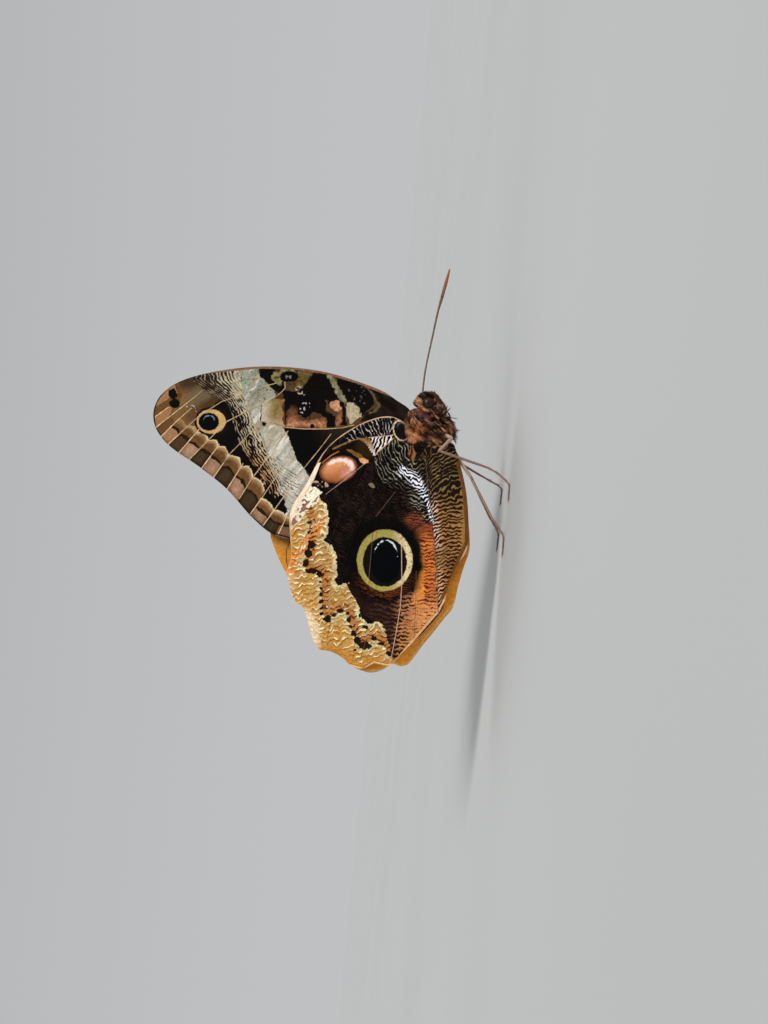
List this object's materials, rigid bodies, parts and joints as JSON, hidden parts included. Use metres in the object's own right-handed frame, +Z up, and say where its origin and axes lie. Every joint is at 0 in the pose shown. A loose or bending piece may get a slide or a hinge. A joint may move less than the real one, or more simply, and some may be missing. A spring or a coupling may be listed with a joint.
{
  "type": "owl butterfly",
  "caption": "Life-size owl butterfly at rest, its eye-marked wings closed over its back, standing on its walking legs with its antennae held forward.",
  "frame": {"origin": "centre of the bounding box's base, on the floor that the feet stand on", "axes": "+X the way the butterfly faces, +Y its left side, +Z up from the floor"},
  "size_m": [0.1196, 0.0318, 0.106],
  "materials": {
    "forewing": "patterned wing scales, matt with a slight sheen",
    "hindwing": "patterned wing scales, matt with a slight sheen",
    "body_hair": "dense brown and orange hair",
    "abdomen_hair": "short brown hair",
    "eye": "glossy dark compound eye",
    "antenna": "satin dark brown",
    "leg": "satin pinkish brown"
  },
  "bodies": {
    "root": {"thorax": "body_hair", "head": "body_hair", "eye_right": "eye", "eye_left": "eye", "antenna_right": "antenna", "antenna_left": "antenna", "palp_right": "body_hair", "palp_left": "body_hair", "proboscis": "antenna", "abdomen": "abdomen_hair", "forewing_right": "forewing", "forewing_left": "forewing", "hindwing_right": "hindwing", "hindwing_left": "hindwing", "foreleg_right": "body_hair", "foreleg_left": "body_hair", "midleg_right": "leg", "midleg_left": "leg", "hindleg_right": "leg", "hindleg_left": "leg"}
  },
  "joints": []
}
